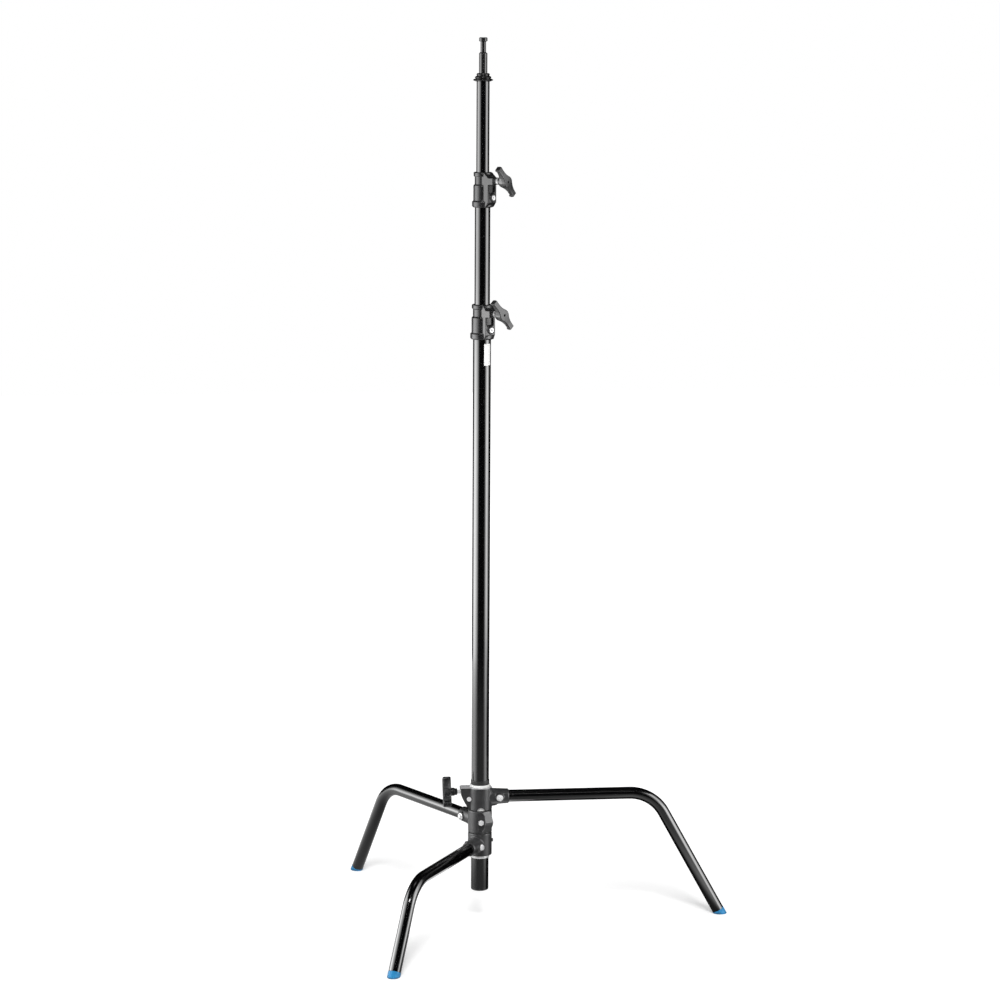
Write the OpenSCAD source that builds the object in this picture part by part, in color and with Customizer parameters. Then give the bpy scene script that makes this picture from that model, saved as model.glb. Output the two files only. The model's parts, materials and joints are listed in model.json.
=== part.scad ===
// C stand: a 35 mm column on three nesting legs, two risers and a 16 mm spigot.
// Frame: origin on the floor under the column axis, +Z up, the sliding leg along +X. Millimetres.

/* [Mast] */
// outer diameter of the column tube
col_d = 35; // [33:0.5:38]
// wall of the mast tubes
tube_wall = 1.5; // [1.2:0.1:1.8]
// radial gap between two nested tubes
nest_gap = 1; // [0.9:0.1:1.4]
// height of the column's lower end over the floor
col_z = 67; // [45:1:90]
// length of the column tube
col_len = 1145.5; // [900:0.5:1300]
// bare length of the lower riser as set
riser1_out = 188; // [60:1:700]
// bare length of the upper riser as set
riser2_out = 169; // [60:1:700]
// length of the lower riser that stays in the column when collapsed
riser1_in = 1108; // [800:1:1160]
// length of the upper riser that stays in the lower riser when collapsed
riser2_in = 1120; // [800:1:1150]

/* [Spigot] */
// spigot diameter (5/8 inch baby pin)
pin_d = 16; // [15.6:0.1:16.4]
// plain shaft of the spigot
pin_shaft = 38; // [30:1:50]
// groove diameter
groove_d = 10.6; // [9:0.2:13]
// groove length with both cones
groove_len = 23; // [16:1:30]
// head over the groove
pin_head = 7; // [5:0.5:12]
// widest lip of the top fitting
flange_d = 38.5; // [34:0.5:44]

/* [Clamp collars] */
// height of a collar
collar_h = 68; // [64:1:80]
// height of the screw axis over the collar's lower edge
screw_up = 51.5; // [48:0.5:53]
// height of the fixing bolt over the collar's lower edge
bolt_up = 19.5; // [17:0.5:23]
// half width of the clamp block
block_w = 13; // [10:0.5:14]
// reach of the clamp block from the mast axis
block_s = 23.5; // [23:0.5:27]
// clamp screw diameter (M8)
screw_d = 8; // [6:0.5:9]
// brake shoe diameter
shoe_d = 12; // [10:0.5:13]
// length of a brake shoe
shoe_len = 4.2; // [3:0.2:4.6]
// half span of a T handle
handle_span = 35; // [26:1:40]
// direction of the lower clamp screw around the mast
lower_az = -53; // [-75:1:-30]
// direction of the upper clamp screw around the mast
upper_az = -45; // [-75:1:-30]
// turn of both T handles as tightened
handle_turn = 41; // [0:1:90]

/* [Base] */
// underside of the lowest leg casting
base_z = 137; // [110:1:150]
// pitch of the three castings
cast_pitch = 46.25; // [46:0.25:56]
// wall of a casting around the column
cast_wall = 6.25; // [4.5:0.25:7]
// height of the top casting
top_cast_h = 46.3; // [45:0.1:60]
// leg axis over the underside of the lowest casting
leg_up = 23; // [22:0.5:30]
// how much higher the leg sits in each next casting
leg_step = 1.25; // [0:0.25:2]
// reach of a leg socket from the column axis
sock_s = 57; // [52:1:70]
// leg tube diameter
leg_d = 24; // [22:0.5:25]
// leg tube wall
leg_wall = 2; // [1.5:0.1:3]
// slope of the outer leg below the horizontal
leg_drop = 61; // [50:1:70]
// centreline radius of the leg bend
bend_r = 80; // [50:2:110]
// radius of the lowest leg's bend corner from the column axis
run_low = 313; // [260:1:380]
// how much further out the middle leg bends
step_mid = 13; // [8:1:40]
// how much further out the top leg bends
step_top = 22; // [8:1:40]
// leg bolt diameter (M6)
lb_d = 6; // [5:0.5:7]
// reach of the knob boss
knob_boss = 40; // [36:1:48]
// knob screw diameter
kscrew_d = 8; // [5:0.5:9]
// length of the T knob
knob_len = 57; // [40:1:66]
// turn of the T knob as tightened
knob_turn = 25; // [0:1:90]

/* [Fits] */
// radial running clearance
run = 0.06; // [0.03:0.01:0.09]
// axial gap between neighbouring castings
gap = 0.4; // [0.35:0.05:0.8]
// radial clearance of pieces that are fixed together
seat = 0.03; // [0.02:0.01:0.05]

/* [Hidden] */
$fn = 96;
col_r = col_d / 2;
col_b = col_r - tube_wall;
r1 = col_b - nest_gap;
r1_b = r1 - tube_wall;
r2 = r1_b - nest_gap;
r2_b = r2 - tube_wall;
// collar seats: the outer tube ends under the brake shoe, and the bush sits over it
neck_up = screw_up - shoe_d / 2 - 4;
bush_up = screw_up + shoe_d / 2 + 2.5;
c1_z = col_z + col_len - neck_up + 0.5;
c2_z = c1_z + collar_h + riser1_out;
r1_top = c2_z + neck_up - 0.5;
flange_z = c2_z + collar_h + riser2_out;
r1_z0 = c1_z + collar_h - riser1_in + riser1_out - 18;
r2_z0 = c2_z + collar_h - riser2_in + riser2_out - 46;
r2_top = flange_z + 6;
pin_z = flange_z + 20;
top_z = pin_z + pin_shaft + groove_len + pin_head;
low_top = base_z + cast_pitch - gap;
mid_z = base_z + cast_pitch;
mid_top = mid_z + cast_pitch - gap;
topc_z = mid_z + cast_pitch;
topc_top = topc_z + top_cast_h;
low_leg = base_z + leg_up;
mid_leg = mid_z + leg_up + leg_step;
top_leg_z = topc_z + leg_up + 2 * leg_step;
cast_r = col_r + cast_wall;
leg_r = leg_d / 2;
sock_r = leg_r + 2.6;
bush_r = col_r + 2.6;
bend_t = bend_r * tan(leg_drop / 2);
// the cut end of a leg tube keeps its lowest edge 2.5 mm over the floor
end_z = 2.5 + leg_r * cos(leg_drop);
run_mid = run_low + step_mid;
run_top = run_mid + step_top;
low_az = 240;
mid_az = 120;
low_bolt = 31;
mid_bolt = 42;
top_bolt = 38;
knob_z = topc_top - 10;
knob_pin_s = col_r + 6;
knob_pin_z = topc_top - 22.5;
kshoe_s = col_r + run;
kshoe_len = 4;
hub_s = block_s + 17.5;
arm_in = hub_s + 10.2;

// shared shapes

module tube(ro, ri, z0, z1) {
    difference() {
        translate([0, 0, z0]) cylinder(r = ro, h = z1 - z0);
        translate([0, 0, z0 - 1]) cylinder(r = ri, h = z1 - z0 + 2);
    }
}

// a round bar or hole along local +X, from s0 to s1 at height z
module radial(r, s0, s1, z, fn = 64) {
    translate([s0, 0, z]) rotate([0, 90, 0]) cylinder(r = r, h = s1 - s0, $fn = fn);
}

// a round bar or hole along local +Y, centred on the radial plane
module cross(r, s, z, y0, y1, fn = 64) {
    translate([s, y1, z]) rotate([90, 0, 0]) cylinder(r = r, h = y1 - y0, $fn = fn);
}

// a flat profile in the radial plane, thickened to both sides
module fin(pts, w) {
    translate([0, w, 0]) rotate([90, 0, 0]) linear_extrude(2 * w) polygon(pts);
}

// a bent leg tube: level run, bend and straight slope down to height z_end
// the bend is drawn a hair thicker and both straights reach into it, so that the three join as one solid
module leg_run(ro, ri, s0, z, corner) {
    n = corner - bend_t - s0 + 1;
    translate([s0, 0, z]) rotate([0, 90, 0]) difference() {
        cylinder(r = ro, h = n);
        translate([0, 0, -1]) cylinder(r = ri, h = n + 2);
    }
}

module leg_bend(ro, ri, z, corner) {
    translate([corner - bend_t, 0, z - bend_r]) rotate([90, 0, 0]) rotate([0, 0, 90 - leg_drop])
        rotate_extrude(angle = leg_drop) translate([bend_r, 0]) difference() {
            circle(r = ro + seat);
            circle(r = ri - seat);
        }
}

module leg_slope(ro, ri, z, corner, z_end) {
    ex = corner - bend_t + bend_r * sin(leg_drop);
    ez = z - bend_r + bend_r * cos(leg_drop);
    n = (ez - z_end) / sin(leg_drop) + 1;
    translate([ex, 0, ez]) rotate([0, 90 + leg_drop, 0]) translate([0, 0, -1]) difference() {
        cylinder(r = ro, h = n);
        translate([0, 0, -1]) cylinder(r = ri, h = n + 2);
    }
}

function foot_s(z, corner) = corner + z / tan(leg_drop);

module leg(z, corner, bolt_s) {
    ri = leg_r - leg_wall;
    difference() {
        leg_run(leg_r, ri, cast_r + 1, z, corner);
        cross(lb_d / 2 + 0.1, bolt_s, z, -20, 20);
    }
    leg_bend(leg_r, ri, z, corner);
    leg_slope(leg_r, ri, z, corner, end_z);
}

// blue foot: a wedge cut flat on the floor, with a plug in the tube
module foot(z, corner) {
    s = foot_s(z, corner);
    up = end_z / sin(leg_drop);
    difference() {
        translate([s, 0, 0]) rotate([0, leg_drop - 90, 0]) {
            translate([0, 0, -30]) cylinder(r = leg_r + 0.4, h = 30 + up);
            translate([0, 0, up - 1]) cylinder(r = leg_r - leg_wall - seat, h = 31);
        }
        translate([s - 60, -60, -60]) cube([120, 120, 60]);
    }
}

module leg_bolt(z, s) {
    cross(lb_d / 2, s, z, -19.5, 20.5);
    cross(5.7, s, z, -21, -16.5, 6);
}

module leg_nut(z, s) {
    difference() {
        cross(5.7, s, z, 15.5, 20, 6);
        cross(lb_d / 2 + seat, s, z, 15, 21);
    }
}

// the turned body of a leg casting
module cast_core(z0, z1) {
    rotate_extrude() polygon([[col_r, z0], [cast_r - 1, z0], [cast_r, z0 + 1], [cast_r, z1 - 1],
        [cast_r - 1, z1], [col_r, z1]]);
}

// leg socket with bolt bosses, outside shape
module socket_body(z, s_bolt) {
    w = leg_up - 4;
    translate([0, 0, z]) rotate([0, 90, 0]) cylinder(r1 = sock_r + 3, r2 = sock_r, h = sock_s - 1.5);
    translate([sock_s - 1.5, 0, z]) rotate([0, 90, 0]) cylinder(r1 = sock_r, r2 = sock_r - 1.2, h = 1.5);
    cross(8.6, s_bolt, z, -17.5, 17.5);
    fin([[0, z], [sock_s - 12, z - 6], [cast_r + 8, z - sock_r - 3], [cast_r - 1, z - w], [0, z - w]], 6);
}

module socket_cuts(z, s_bolt) {
    radial(leg_r + seat, cast_r + 0.6, sock_s + 5, z, 96);
    radial(leg_r - leg_wall, col_r + 2, sock_s + 5, z);
    cross(lb_d / 2 + 0.1, s_bolt, z, -30, 30);
    cross(7.3, s_bolt, z, -30, -16.5);
    cross(7.3, s_bolt, z, 15.5, 30);
}

// everything over z1 and under z0, so that a socket keeps to its casting's height
module above_below(z0, z1) {
    translate([-100, -100, z1]) cube([200, 200, 40]);
    translate([-100, -100, z0 - 40]) cube([200, 200, 40]);
}

// stepped sleeve of a clamp collar: ro is the outer tube, ri the tube that slides
module collar(z, ro, ri) {
    ra = ri + 2.9;
    rb = max(ro + 3, ra + 2.3);
    rc = rb + 2.4;
    b_r = ri + 1.6;
    difference() {
        union() {
            rotate_extrude() polygon([[0, z], [rb, z], [rc, z + 2.5], [rc, z + 11.5], [rb, z + 12.5],
                [rb, z + neck_up + 1], [ra, z + neck_up + 3], [ra, z + collar_h - 9],
                [rb - 0.4, z + collar_h - 7.5],
                [rb - 0.4, z + collar_h - 1], [rb - 1.4, z + collar_h], [0, z + collar_h]]);
            fin([[0, z + 0.8], [rc - 3.4, z + 0.8], [block_s, z + 10], [block_s, z + screw_up - 6.6],
                [block_s + 11.5, z + screw_up - 6.6], [block_s + 11.5, z + screw_up + 6.4],
                [block_s, z + screw_up + 6.6], [ra - 2, z + collar_h - 0.6],
                [0, z + collar_h - 0.6]], block_w);
            radial(7.4, 0, block_s + 3.6, z + bolt_up);
        }
        translate([0, 0, z - 1]) cylinder(r = ro + seat, h = neck_up + 1);
        translate([0, 0, z]) cylinder(r = ri + 0.35, h = collar_h + 1);
        translate([0, 0, z + bush_up - 0.1]) cylinder(r = b_r + seat, h = collar_h - bush_up + 2);
        radial(shoe_d / 2 + run, 0, ri + shoe_len + 2.6, z + screw_up);
        radial(screw_d / 2 + run, 0, block_s + 20, z + screw_up);
        radial(2.6, 0, block_s + 20, z + bolt_up);
        radial(5, block_s - 0.4, block_s + 20, z + bolt_up);
        translate([block_s - 4, -8.5, z + bolt_up + 8.6]) cube([10, 17, screw_up - bolt_up - 16.2]);
    }
}

module collar_bolt(z, ri) {
    difference() {
        union() {
            radial(2.5, ri + 1.3, block_s + 1, z + bolt_up);
            radial(4.8, block_s - 0.3, block_s + 4.4, z + bolt_up);
        }
        radial(2.5, block_s + 1.8, block_s + 9, z + bolt_up, 6);
    }
}

module collar_bush(z, ri) {
    tube(ri + 1.6, ri + run, z + bush_up, z + collar_h - 0.4);
}

module shoe(z, ri) {
    difference() {
        radial(shoe_d / 2, ri - 4, ri + shoe_len, z + screw_up);
        translate([0, 0, z]) cylinder(r = ri + run, h = collar_h);
    }
}

module clamp_screw(z, ri) {
    radial(screw_d / 2, ri + shoe_len + 0.1, hub_s + 13.5, z + screw_up);
}

module clamp_washer(z) {
    difference() {
        union() {
            radial(5.7, block_s + 12, hub_s - 1.8, z + screw_up);
            radial(6.4, hub_s - 1.8, hub_s - 0.1, z + screw_up);
        }
        radial(screw_d / 2 + seat, block_s, hub_s + 2, z + screw_up);
    }
}

// cast T handle: turned hub and two swept arms, axis along +X at height z + screw_up
module t_handle(z) {
    f = hub_s + 22.5;
    e = handle_span;
    half = [[0, 10.8], [4.5, 10.2], [8, 8.4], [14, 6.1], [e - 10, 5], [e - 3.5, 5.5], [e, 5.2]];
    n = len(half) - 1;
    outline = concat(half, [for (i = [n:-1:0]) [half[i][0], -half[i][1]]],
        [for (i = [1:n]) [-half[i][0], -half[i][1]]], [for (i = [n:-1:1]) [-half[i][0], half[i][1]]]);
    arm = [[f, 0], [f - 0.5, 10], [f - 2, 22], [f - 2.6, e + 1], [arm_in - 0.2, e + 1],
        [arm_in - 0.2, e - 3.2], [arm_in + 2.4, e - 5.6], [arm_in + 1.6, min(21, e - 9)], [arm_in - 0.4, 15],
        [arm_in - 4, 6], [arm_in - 6, 0]];
    translate([0, 0, z + screw_up]) rotate([handle_turn, 0, 0]) difference() {
        union() {
            rotate([0, 90, 0]) rotate_extrude() polygon([[0, hub_s], [6.2, hub_s], [6.7, hub_s + 0.6],
                [7.1, hub_s + 5], [8.6, hub_s + 9.5], [10.3, hub_s + 13], [10.5, hub_s + 16],
                [9.6, f - 1], [0, f - 1]]);
            intersection() {
                rotate([0, 90, 0]) linear_extrude(f + 10) polygon(outline);
                fin(concat(arm, [for (i = [len(arm) - 2:-1:1]) [arm[i][0], -arm[i][1]]]), 20);
            }
        }
        rotate([0, 90, 0]) translate([0, 0, hub_s - 1]) cylinder(r = screw_d / 2 + seat, h = 14.7);
        rotate([0, 90, 0]) translate([0, 0, f - 3.5]) cylinder(r = 2.6, h = 10);
    }
}
module column_tube() {
    color([0.05, 0.05, 0.06]) difference() {
        tube(col_r, col_b, col_z, col_z + col_len);
        rotate([0, 0, lower_az]) radial(2.6, col_b - 3, col_r + 3, c1_z + bolt_up);
        radial(2.1, col_b - 3, col_r + 3, base_z + 28);
    }
}

module column_plug() {
    color([0.06, 0.06, 0.06]) rotate_extrude() polygon([[0, col_z - 3], [col_r - 2.4, col_z - 3],
        [col_r - 0.8, col_z - 2.2], [col_r, col_z - 0.6], [col_r, col_z - 0.05],
        [col_b - seat, col_z - 0.05],
        [col_b - seat, col_z + 20], [col_b - 2, col_z + 22], [col_b - 3, col_z + 22],
        [col_b - 3, col_z + 2], [0, col_z + 2]]);
}

module lower_casting() {
    z = low_leg;
    color([0.2, 0.2, 0.21]) difference() {
        union() {
            cast_core(base_z, low_top);
            rotate([0, 0, low_az]) socket_body(z, low_bolt);
        }
        translate([0, 0, base_z - 1]) cylinder(r = col_r + seat, h = 60);
        rotate([0, 0, low_az]) mirror([0, 1, 0]) socket_cuts(z, low_bolt);
        radial(2.1, 0, cast_r + 3, base_z + 28);
        above_below(base_z - 0.02, low_top + 0.02);
    }
}

module lower_leg() {
    color([0.05, 0.05, 0.06]) rotate([0, 0, low_az]) leg(low_leg, run_low, low_bolt);
}

module lower_foot() {
    color([0.1, 0.47, 0.7]) rotate([0, 0, low_az]) foot(low_leg, run_low);
}

module lower_leg_bolt() {
    color([0.8, 0.8, 0.82]) rotate([0, 0, low_az]) mirror([0, 1, 0]) leg_bolt(low_leg, low_bolt);
}

module lower_leg_nut() {
    color([0.8, 0.8, 0.82]) rotate([0, 0, low_az]) mirror([0, 1, 0]) leg_nut(low_leg, low_bolt);
}

module casting_screw() {
    color([0.3, 0.3, 0.31]) {
        radial(2, col_b + 0.3, cast_r + 0.2, base_z + 28);
        radial(3.4, cast_r + 0.1, cast_r + 2.4, base_z + 28);
    }
}

module base_ring() {
    color([0.85, 0.85, 0.86]) rotate_extrude() polygon([[col_r + seat, base_z - 5.5],
        [col_r + 1, base_z - 5.5],
        [col_r + 1.5, base_z - 4.5], [col_r + 1.5, base_z - 1], [col_r + 1, base_z - 0.05],
        [col_r + seat, base_z - 0.05]]);
}

module lower_collar() {
    color([0.36, 0.36, 0.37]) rotate([0, 0, lower_az]) collar(c1_z, col_r, r1);
}

module lower_collar_bolt() {
    color([0.8, 0.8, 0.82]) rotate([0, 0, lower_az]) collar_bolt(c1_z, r1);
}

module lower_collar_bush() {
    color([0.15, 0.15, 0.15]) collar_bush(c1_z, r1);
}

// lower clamp

module lower_shoe() {
    color([0.7, 0.55, 0.25]) rotate([0, 0, lower_az]) shoe(c1_z, r1);
}

module lower_screw() {
    color([0.8, 0.8, 0.82]) rotate([0, 0, lower_az]) clamp_screw(c1_z, r1);
}

module lower_washer() {
    color([0.8, 0.8, 0.82]) rotate([0, 0, lower_az]) clamp_washer(c1_z);
}

module lower_handle() {
    color([0.4, 0.4, 0.41]) rotate([0, 0, lower_az]) t_handle(c1_z);
}

// lower riser with the upper collar; its glide slides in the column, and the riser turns on the glide

module riser_1_tube() {
    color([0.05, 0.05, 0.06]) difference() {
        tube(r1, r1_b, r1_z0, r1_top);
        rotate([0, 0, upper_az]) radial(2.6, r1_b - 3, r1 + 3, c2_z + bolt_up);
    }
}

module riser_1_glide() {
    color([0.85, 0.85, 0.8]) {
        tube(col_b - run, r1 + run, r1_z0 + 0.1, r1_z0 + 36);
        tube(col_b - run, r1_b, r1_z0 - 4, r1_z0 - 0.05);
        tube(col_b - run, r1 + run, r1_z0 - 1, r1_z0 + 1);
    }
}

module upper_collar() {
    color([0.36, 0.36, 0.37]) rotate([0, 0, upper_az]) collar(c2_z, r1, r2);
}

module upper_collar_bolt() {
    color([0.8, 0.8, 0.82]) rotate([0, 0, upper_az]) collar_bolt(c2_z, r2);
}

module upper_collar_bush() {
    color([0.15, 0.15, 0.15]) collar_bush(c2_z, r2);
}

// upper clamp

module upper_shoe() {
    color([0.7, 0.55, 0.25]) rotate([0, 0, upper_az]) shoe(c2_z, r2);
}

module upper_screw() {
    color([0.8, 0.8, 0.82]) rotate([0, 0, upper_az]) clamp_screw(c2_z, r2);
}

module upper_washer() {
    color([0.8, 0.8, 0.82]) rotate([0, 0, upper_az]) clamp_washer(c2_z);
}

module upper_handle() {
    color([0.4, 0.4, 0.41]) rotate([0, 0, upper_az]) t_handle(c2_z);
}

// upper riser with the spigot, on a glide of its own

module riser_2_tube() {
    color([0.05, 0.05, 0.06]) difference() {
        tube(r2, r2_b, r2_z0, r2_top);
        cross(1.6, 0, r2_top - 20, -20, 20);
    }
}

module riser_2_glide() {
    color([0.85, 0.85, 0.8]) {
        tube(r1_b - run, r2 + run, r2_z0 + 0.1, r2_z0 + 36);
        tube(r1_b - run, r2_b, r2_z0 - 4, r2_z0 - 0.05);
        tube(r1_b - run, r2 + run, r2_z0 - 1, r2_z0 + 1);
    }
}

module top_fitting() {
    fr = flange_d / 2;
    color([0.3, 0.3, 0.31]) difference() {
        rotate_extrude() polygon([[0, r2_top - 40], [r2_b - seat, r2_top - 40],
            [r2_b - seat, r2_top + 0.05],
            [r2 + seat, r2_top + 0.05], [r2 + seat, flange_z + 4.4], [r2 + 1.4, flange_z + 4.4],
            [fr - 0.6, flange_z + 6.2],
            [fr, flange_z + 7], [fr - 0.4, flange_z + 8], [fr - 4.6, flange_z + 10],
            [fr - 3.4, flange_z + 12.2],
            [fr - 3.7, flange_z + 13.2], [fr - 7.4, flange_z + 15.4], [fr - 6.4, flange_z + 17.6],
            [fr - 6.7, flange_z + 18.6], [fr - 8.2, flange_z + 20], [0, flange_z + 20]]);
        translate([0, 0, r2_top - 41]) cylinder(r = pin_d / 2 - 0.5 + seat, h = 100);
        cross(1.6, 0, r2_top - 20, -20, 20);
    }
}

module spigot() {
    p = pin_d / 2;
    g = groove_d / 2;
    c = p - g;
    z1 = pin_z + pin_shaft;
    z2 = z1 + groove_len;
    color([0.2, 0.2, 0.21]) difference() {
        rotate_extrude() polygon([[0, r2_top - 40], [p - 1.5, r2_top - 40], [p - 0.5, r2_top - 39],
            [p - 0.5, pin_z + 0.05], [p, pin_z + 0.05], [p, z1], [g, z1 + c * 0.7], [g, z2 - c * 0.4],
            [p, z2],
            [p, top_z - 1.2], [p - 1.2, top_z], [0, top_z]]);
        cross(1.6, 0, r2_top - 20, -20, 20);
    }
}

module spigot_pin() {
    color([0.5, 0.5, 0.52]) cross(1.5, 0, r2_top - 20, 0.2 - r2, r2 - 0.2);
}

// middle leg, turns about the column

module middle_casting() {
    z = mid_leg;
    zi = mid_z + 23;
    color([0.2, 0.2, 0.21]) difference() {
        union() {
            cast_core(mid_z, mid_top);
            rotate([0, 0, mid_az]) socket_body(z, mid_bolt);
            rotate([0, 0, mid_az - 180]) fin([[0, mid_top - 1], [cast_r - 1, mid_top - 1],
                [cast_r + 1, mid_top - 5],
                [cast_r + 9, mid_z + 25], [cast_r + 8, mid_z + 19], [cast_r - 1, mid_z + 2],
                [0, mid_z + 2]], 9.5);
        }
        translate([0, 0, mid_z - 1]) cylinder(r = col_r + run, h = 60);
        rotate([0, 0, mid_az]) mirror([0, 1, 0]) socket_cuts(z, mid_bolt);
        rotate([0, 0, -90]) {
            radial(6.6, cast_r - 2.2, cast_r + 20, zi + 12);
            radial(6.6, cast_r - 2.2, cast_r + 20, zi - 10);
            translate([cast_r - 2.2, -6.6, zi - 10]) cube([20, 13.2, 22]);
            radial(3.1, 0, cast_r + 3, zi);
        }
        above_below(mid_z - 0.02, mid_top + 0.02);
    }
}

module middle_leg() {
    color([0.05, 0.05, 0.06]) rotate([0, 0, mid_az]) leg(mid_leg, run_mid, mid_bolt);
}

module middle_foot() {
    color([0.1, 0.47, 0.7]) rotate([0, 0, mid_az]) foot(mid_leg, run_mid);
}

module middle_leg_bolt() {
    color([0.8, 0.8, 0.82]) rotate([0, 0, mid_az]) mirror([0, 1, 0]) leg_bolt(mid_leg, mid_bolt);
}

module middle_leg_nut() {
    color([0.8, 0.8, 0.82]) rotate([0, 0, mid_az]) mirror([0, 1, 0]) leg_nut(mid_leg, mid_bolt);
}

module index_bolt() {
    zi = mid_z + 23;
    color([0.8, 0.8, 0.82]) rotate([0, 0, -90]) {
        radial(3, col_r + run, cast_r - 1.5, zi);
        radial(5.7, cast_r - 2.2, cast_r + 2.2, zi, 6);
    }
}

// sliding rings that carry the top leg

module slide_bush_top() {
    z = topc_top + 0.35;
    color([0.88, 0.88, 0.88]) rotate_extrude() polygon([[col_r + run, z], [bush_r - 0.1, z],
        [bush_r + 0.2, z + 0.6],
        [bush_r + 0.2, z + 4], [bush_r - 0.6, z + 4.8], [col_r + run, z + 4.8]]);
}

module slide_bush_bottom() {
    color([0.88, 0.88, 0.88]) tube(bush_r - run, col_r + run, topc_z + 0.2, topc_z + 9.6);
}

module wiper_ring() {
    z = topc_top + 5.2;
    color([0.05, 0.05, 0.05]) rotate_extrude() polygon([[col_r + run, z], [col_r + 0.5, z],
        [col_r + 0.9, z + 1.5],
        [col_r + 0.9, z + 7.5], [col_r + 0.5, z + 9], [col_r + run, z + 9]]);
}

// top leg, turns on the sliding rings

module top_casting() {
    z = top_leg_z;
    k = knob_boss;
    t = topc_top;
    color([0.2, 0.2, 0.21]) difference() {
        union() {
            cast_core(topc_z, t);
            socket_body(z, top_bolt);
            rotate([0, 0, 180]) fin([[0, t], [k - 1, t], [k, t - 1], [k - 0.8, t - 9], [k - 3, t - 20],
                [k - 8, t - 30],
                [k - 12.5, t - 38], [cast_r - 1.5, topc_z + 1], [0, topc_z + 1]], 13);
        }
        translate([0, 0, topc_z - 1]) cylinder(r = col_r + 0.4, h = 80);
        translate([0, 0, topc_z - 1]) cylinder(r = bush_r, h = 11);
        socket_cuts(z, top_bolt);
        rotate([0, 0, -90]) radial(8.4, bush_r - 1, cast_r + 20, topc_z - 1.2);
        rotate([0, 0, 180]) {
            radial(shoe_d / 2 + run, 0, kshoe_s + kshoe_len + 2.2, knob_z);
            radial(kscrew_d / 2 + run, 0, k + 20, knob_z);
            cross(3 + seat, knob_pin_s, knob_pin_z, -20, 20);
            for (y = [13.02, -20]) cross(4.8, knob_pin_s, knob_pin_z, y, y + 6.98);
        }
        above_below(topc_z - 0.02, t + 0.02);
    }
}

module top_leg() {
    color([0.05, 0.05, 0.06]) leg(top_leg_z, run_top, top_bolt);
}

module top_foot() {
    color([0.1, 0.47, 0.7]) foot(top_leg_z, run_top);
}

module top_leg_bolt() {
    color([0.8, 0.8, 0.82]) leg_bolt(top_leg_z, top_bolt);
}

module top_leg_nut() {
    color([0.8, 0.8, 0.82]) leg_nut(top_leg_z, top_bolt);
}

module boss_pin() {
    color([0.8, 0.8, 0.82]) rotate([0, 0, 180]) {
        cross(3, knob_pin_s, knob_pin_z, -13.5, 13.5);
        cross(4.5, knob_pin_s, knob_pin_z, 13.05, 15.2);
        cross(4.5, knob_pin_s, knob_pin_z, -15.2, -13.05);
    }
}

// leg lock

module knob_shoe() {
    color([0.7, 0.55, 0.25]) rotate([0, 0, 180]) difference() {
        radial(shoe_d / 2, kshoe_s - 4, kshoe_s + kshoe_len, knob_z);
        translate([0, 0, topc_z]) cylinder(r = kshoe_s, h = 80);
    }
}

module knob_screw() {
    color([0.8, 0.8, 0.82]) rotate([0, 0, 180]) radial(kscrew_d / 2, kshoe_s + kshoe_len + 0.1,
        knob_boss + 26, knob_z);
}

module leg_knob() {
    s = knob_boss + 6;
    h = knob_len / 2;
    color([0.07, 0.07, 0.07]) rotate([0, 0, 180]) difference() {
        union() {
            radial(6.6, s, s + 5, knob_z);
            radial(8, s + 4.9, s + 13, knob_z);
            translate([s + 12, 0, knob_z]) rotate([0, 90, 0]) rotate([0, 0,
                knob_turn]) linear_extrude(16.5) {
                square([2 * h - 12, 15], center = true);
                square([2 * h, 11], center = true);
                translate([h - 6, 0]) circle(r = 7.5);
                translate([6 - h, 0]) circle(r = 7.5);
            }
        }
        radial(kscrew_d / 2 + seat, s - 1, knob_boss + 26.2, knob_z);
    }
}

column_tube();
column_plug();
lower_casting();
lower_leg();
lower_foot();
lower_leg_bolt();
lower_leg_nut();
casting_screw();
base_ring();
lower_collar();
lower_collar_bolt();
lower_collar_bush();
lower_shoe();
lower_screw();
lower_washer();
lower_handle();
riser_1_tube();
riser_1_glide();
upper_collar();
upper_collar_bolt();
upper_collar_bush();
upper_shoe();
upper_screw();
upper_washer();
upper_handle();
riser_2_tube();
riser_2_glide();
top_fitting();
spigot();
spigot_pin();
middle_casting();
middle_leg();
middle_foot();
middle_leg_bolt();
middle_leg_nut();
index_bolt();
slide_bush_top();
slide_bush_bottom();
wiper_ring();
top_casting();
top_leg();
top_foot();
top_leg_bolt();
top_leg_nut();
boss_pin();
knob_shoe();
knob_screw();
leg_knob();
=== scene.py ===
"""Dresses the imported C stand: finishes, cast and moulded pieces, fasteners, label and studio."""

import json
import math

import bmesh
import bpy
from bpy.props import FloatProperty, FloatVectorProperty, IntProperty, PointerProperty
from mathutils import Matrix, Vector

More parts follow.
